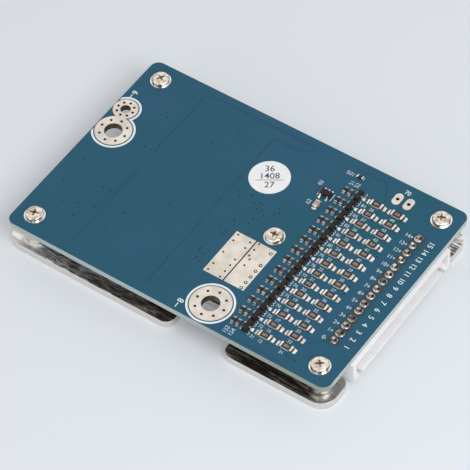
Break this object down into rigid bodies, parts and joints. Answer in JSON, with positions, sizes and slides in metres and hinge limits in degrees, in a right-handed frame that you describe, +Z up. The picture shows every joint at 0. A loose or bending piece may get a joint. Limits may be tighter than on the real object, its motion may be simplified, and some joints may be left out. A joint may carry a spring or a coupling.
{
  "type": "battery management board",
  "caption": "Flat battery management circuit board on an aluminium heat plate, held by screws, with wire holes and a white side-entry cell connector.",
  "frame": {"origin": "on the underside of the heat plate, under the middle of the circuit board", "axes": "+X along the board's length to the cell connector's mouth, +Y across the board to its back edge, +Z up from the heat plate to the solder side"},
  "size_m": [0.0918, 0.06, 0.0103],
  "materials": {
    "solder_mask": "satin teal solder mask on glass fibre laminate",
    "plate_aluminium": "bright rolled sheet with milled edges",
    "nickel_plate": "bright nickel plate",
    "tin": "tinned, bright and slightly uneven",
    "housing_nylon": "white moulded nylon",
    "resistor_ceramic": "dark overglaze",
    "mould_compound": "fine matte black moulding",
    "capacitor_ceramic": "tan fired ceramic",
    "label_paper": "blank white paper",
    "board_ink": "matte white board print",
    "silicone_pad": "soft pale blue silicone"
  },
  "bodies": {
    "root": {"board": "solder_mask", "heat_plate": "plate_aluminium", "standoffs": "nickel_plate", "screws": "nickel_plate", "screw_pads": "tin", "battery_wire_pad": "tin", "pack_wire_pads": "tin", "sense_pads": "tin", "probe_pads": "tin", "pad_outlines": "board_ink", "connector_housing": "housing_nylon", "connector_pins": "tin", "pin_solder": "tin", "bleed_resistors_inner": "resistor_ceramic", "bleed_resistors_outer": "resistor_ceramic", "bleed_resistor_solder": "tin", "balance_transistors": "mould_compound", "balance_transistor_leads": "tin", "filter_resistors": "resistor_ceramic", "filter_capacitors": "capacitor_ceramic", "filter_chip_solder": "tin", "detector_chip": "mould_compound", "detector_chip_leads": "tin", "detector_capacitor": "capacitor_ceramic", "detector_resistor": "resistor_ceramic", "detector_part_solder": "tin", "round_label": "label_paper", "charge_switch_frames": "tin", "discharge_switch_frames": "tin", "thermal_pad": "silicone_pad", "sense_resistor_terminals": "tin", "monitor_chip": "mould_compound", "monitor_chip_leads": "tin", "driver_chip": "mould_compound", "driver_chip_leads": "tin", "charge_switch_1": "mould_compound", "discharge_switch_1": "mould_compound", "charge_switch_2": "mould_compound", "discharge_switch_2": "mould_compound", "charge_switch_3": "mould_compound", "discharge_switch_3": "mould_compound", "charge_switch_4": "mould_compound", "discharge_switch_4": "mould_compound", "charge_switch_5": "mould_compound", "discharge_switch_5": "mould_compound", "sense_resistor_1": "resistor_ceramic", "sense_resistor_2": "resistor_ceramic", "sense_resistor_3": "resistor_ceramic", "sense_resistor_4": "resistor_ceramic"}
  },
  "joints": []
}
